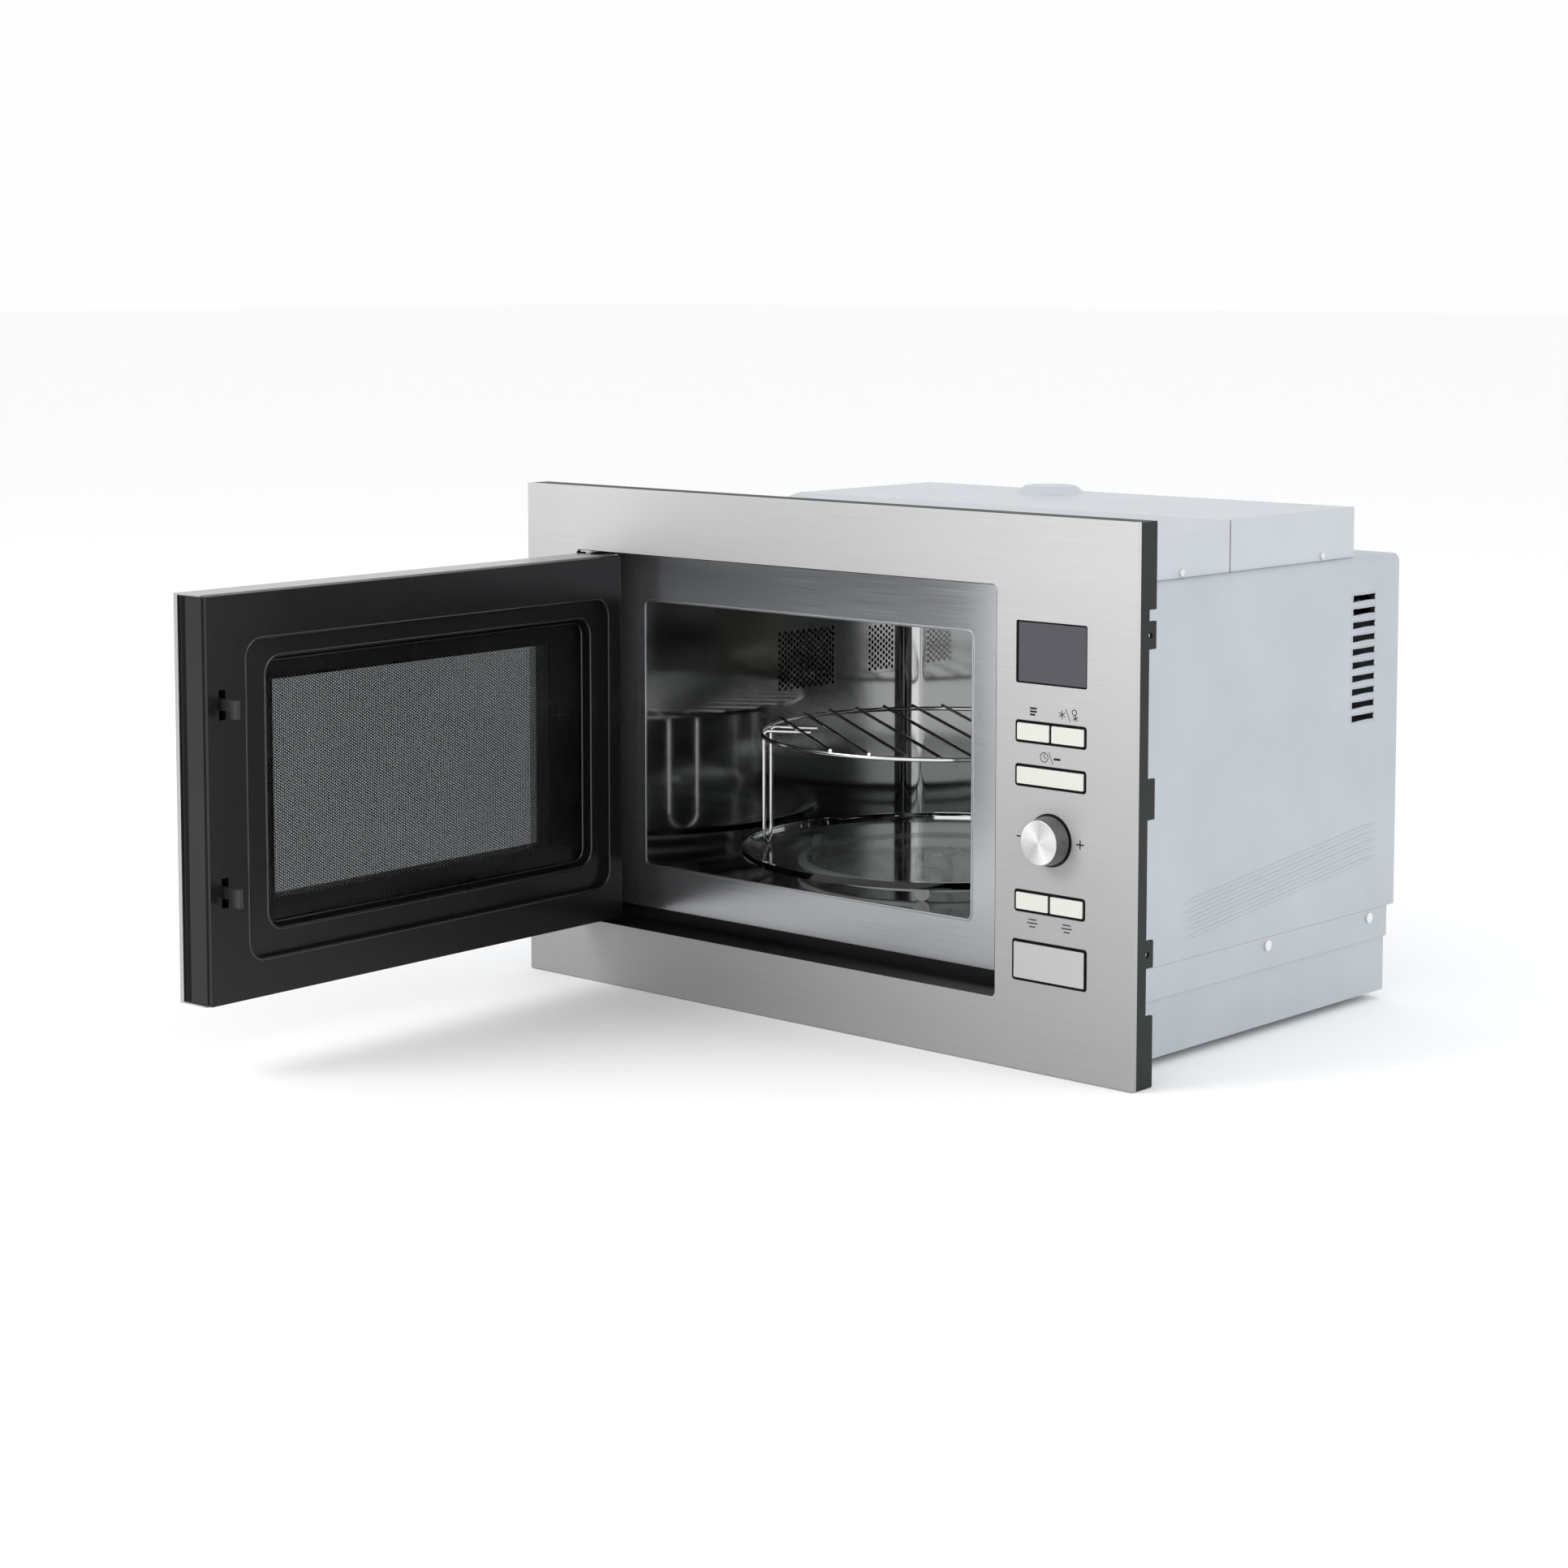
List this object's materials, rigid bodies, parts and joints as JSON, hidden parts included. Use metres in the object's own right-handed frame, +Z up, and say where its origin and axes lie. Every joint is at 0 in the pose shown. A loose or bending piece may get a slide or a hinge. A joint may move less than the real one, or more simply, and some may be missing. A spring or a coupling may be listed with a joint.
{
  "type": "built-in microwave oven",
  "caption": "Built-in microwave oven with a trim frame, side-hinged door with a viewing window, turntable, wire rack, control column and ventilated casing.",
  "frame": {"origin": "middle of the trim frame's bottom edge, on the plane where the frame seats against the cabinet's front", "axes": "+X to the right along the front, +Y into the cabinet, +Z up; the feet and the frame's bottom edge are at Z 0"},
  "size_m": [0.595, 0.7819, 0.39],
  "materials": {
    "black_plastic": "black moulded plastic, satin",
    "bright_steel": "polished stainless steel",
    "brushed_steel": "horizontally brushed stainless steel",
    "button_plastic": "ivory plastic",
    "can_metal": "drawn aluminium can",
    "chrome_wire": "chrome-plated wire",
    "circuit": "printed circuit board",
    "clear_glass": "clear glass with a faint green tint",
    "copper": "enamelled copper winding",
    "core_steel": "laminated iron, lacquered",
    "dark_glass": "dark tinted glass",
    "dark_plastic": "dark grey moulded plastic",
    "display_glass": "dark display lens",
    "galvanised_steel": "galvanised sheet, pale blue-grey, satin",
    "knob_metal": "spun aluminium",
    "lamp_glass": "lamp bulb",
    "machine_steel": "plated steel",
    "mica": "mica sheet",
    "quartz": "quartz tube",
    "release_plastic": "silver-painted plastic",
    "rubber_feet": "black rubber",
    "screen_metal": "perforated black screen",
    "screw_metal": "plated screw heads",
    "silver_duct": "galvanised sheet, satin",
    "spring_steel": "spring wire",
    "vent_metal": "perforated vent field, dark",
    "white_plastic": "white nylon"
  },
  "bodies": {
    "oven": {"front_frame": "brushed_steel", "frame_carrier": "dark_plastic", "frame_brackets": "galvanised_steel", "control_fascia": "black_plastic", "display_window": "display_glass", "knob_collar": "black_plastic", "encoder": "machine_steel", "control_board": "circuit", "hinge_lower": "machine_steel", "hinge_upper": "machine_steel", "latch_board": "white_plastic", "microswitches": "black_plastic", "release_bracket": "machine_steel", "cavity_front_plate": "brushed_steel", "cavity_shell": "bright_steel", "cavity_vents": "vent_metal", "waveguide_cover": "mica", "cavity_lamp": "lamp_glass", "grill_reflector": "bright_steel", "grill_heater": "quartz", "turntable_motor": "machine_steel", "magnetron": "machine_steel", "transformer": "core_steel", "transformer_windings": "copper", "capacitor": "can_metal", "fan_shroud": "black_plastic", "fan_motor": "core_steel", "outer_cover": "galvanised_steel", "base_pan": "galvanised_steel", "rear_panel": "galvanised_steel", "cord_gland": "black_plastic", "top_duct": "silver_duct", "duct_slope": "silver_duct", "feet": "rubber_feet", "case_screws": "screw_metal"},
    "door": {"door_front_panel": "brushed_steel", "door_window_glass": "dark_glass", "door_inner_frame": "black_plastic", "door_choke_frame": "machine_steel", "door_screen": "screen_metal", "door_inner_glass": "clear_glass", "latch_spring": "spring_steel"},
    "door_latch": {"latch_plate": "white_plastic"},
    "release_button": {"door_release_button": "release_plastic"},
    "lever": {"release_lever": "white_plastic"},
    "program_button": {"program_key": "button_plastic"},
    "defrost_button": {"defrost_key": "button_plastic"},
    "clock_button": {"clock_key": "button_plastic"},
    "stop_button": {"stop_key": "button_plastic"},
    "start_button": {"start_key": "button_plastic"},
    "knob_turned": {"knob": "knob_metal", "encoder_shaft": "machine_steel"},
    "table_drive": {"turntable_coupler": "white_plastic"},
    "ring": {"roller_ring": "white_plastic"},
    "wheel_1": {"roller_1": "white_plastic"},
    "wheel_2": {"roller_2": "white_plastic"},
    "wheel_3": {"roller_3": "white_plastic"},
    "tray": {"glass_tray": "clear_glass"},
    "rack": {"wire_rack": "chrome_wire"},
    "fan": {"fan_impeller": "black_plastic"}
  },
  "joints": [
    {"name": "door_hinge", "type": "hinge", "parent": "oven", "child": "door", "pos_m": [-0.2335, -0.017, 0.194], "axis": [0, 0, -1], "range_deg": [-88, 12]},
    {"name": "latch_slide", "type": "slide", "parent": "door", "child": "door_latch", "axis": [0, 0, 1], "range_m": [0, 0.003], "stiffness_N_per_m": 300, "springref_m": -0.004, "deforming": ["latch_spring"]},
    {"name": "release_push", "type": "slide", "parent": "oven", "child": "release_button", "axis": [0, 1, 0], "range_m": [0, 0.0035], "stiffness_N_per_m": 300, "springref_m": -0.002},
    {"name": "lever_swing", "type": "hinge", "parent": "oven", "child": "lever", "pos_m": [0.225, -0.011, 0.1042], "axis": [1, 0, 0], "range_deg": [0, 8.6]},
    {"name": "knob_spin", "type": "hinge", "parent": "oven", "child": "knob_turned", "pos_m": [0.225, -0.03, 0.1655], "axis": [0, 1, 0], "continuous": true},
    {"name": "turntable_spin", "type": "hinge", "parent": "oven", "child": "table_drive", "pos_m": [-0.0365, 0.1772, 0.09], "axis": [0, 0, 1], "continuous": true},
    {"name": "ring_spin", "type": "hinge", "parent": "oven", "child": "ring", "pos_m": [-0.0365, 0.1772, 0.09], "axis": [0, 0, 1], "continuous": true},
    {"name": "tray_lift", "type": "slide", "parent": "table_drive", "child": "tray", "axis": [0, 0, 1], "range_m": [0, 0.025]},
    {"name": "rack_lift", "type": "slide", "parent": "tray", "child": "rack", "axis": [0, 0, 1], "range_m": [0, 0.05]},
    {"name": "fan_spin", "type": "hinge", "parent": "oven", "child": "fan", "pos_m": [0.20075, 0.322, 0.13], "axis": [0, 1, 0], "continuous": true},
    {"name": "roller_1_spin", "type": "hinge", "parent": "ring", "child": "wheel_1", "pos_m": [0.02995, 0.07488, 0.09], "axis": [0.5446, -0.8387, 0], "continuous": true},
    {"name": "roller_2_spin", "type": "hinge", "parent": "ring", "child": "wheel_2", "pos_m": [0.01889, 0.2859, 0.09], "axis": [0.454, 0.891, 0], "continuous": true},
    {"name": "roller_3_spin", "type": "hinge", "parent": "ring", "child": "wheel_3", "pos_m": [-0.15833, 0.17081, 0.09], "axis": [-0.9986, -0.0523, 0], "continuous": true},
    {"name": "program_push", "type": "slide", "parent": "oven", "child": "program_button", "axis": [0, 1, 0], "range_m": [0, 0.0012], "stiffness_N_per_m": 300, "springref_m": -0.002},
    {"name": "defrost_push", "type": "slide", "parent": "oven", "child": "defrost_button", "axis": [0, 1, 0], "range_m": [0, 0.0012], "stiffness_N_per_m": 300, "springref_m": -0.002},
    {"name": "clock_push", "type": "slide", "parent": "oven", "child": "clock_button", "axis": [0, 1, 0], "range_m": [0, 0.0012], "stiffness_N_per_m": 300, "springref_m": -0.002},
    {"name": "stop_push", "type": "slide", "parent": "oven", "child": "stop_button", "axis": [0, 1, 0], "range_m": [0, 0.0012], "stiffness_N_per_m": 300, "springref_m": -0.002},
    {"name": "start_push", "type": "slide", "parent": "oven", "child": "start_button", "axis": [0, 1, 0], "range_m": [0, 0.0012], "stiffness_N_per_m": 300, "springref_m": -0.002}
  ],
  "couplings": [
    {"joint": "lever_swing", "follows": "release_push", "rad_per_m": 41.667},
    {"joint": "ring_spin", "follows": "turntable_spin", "ratio": 0.5},
    {"joint": "roller_1_spin", "follows": "turntable_spin", "ratio": -10.167},
    {"joint": "roller_2_spin", "follows": "turntable_spin", "ratio": -10.167},
    {"joint": "roller_3_spin", "follows": "turntable_spin", "ratio": -10.167}
  ]
}
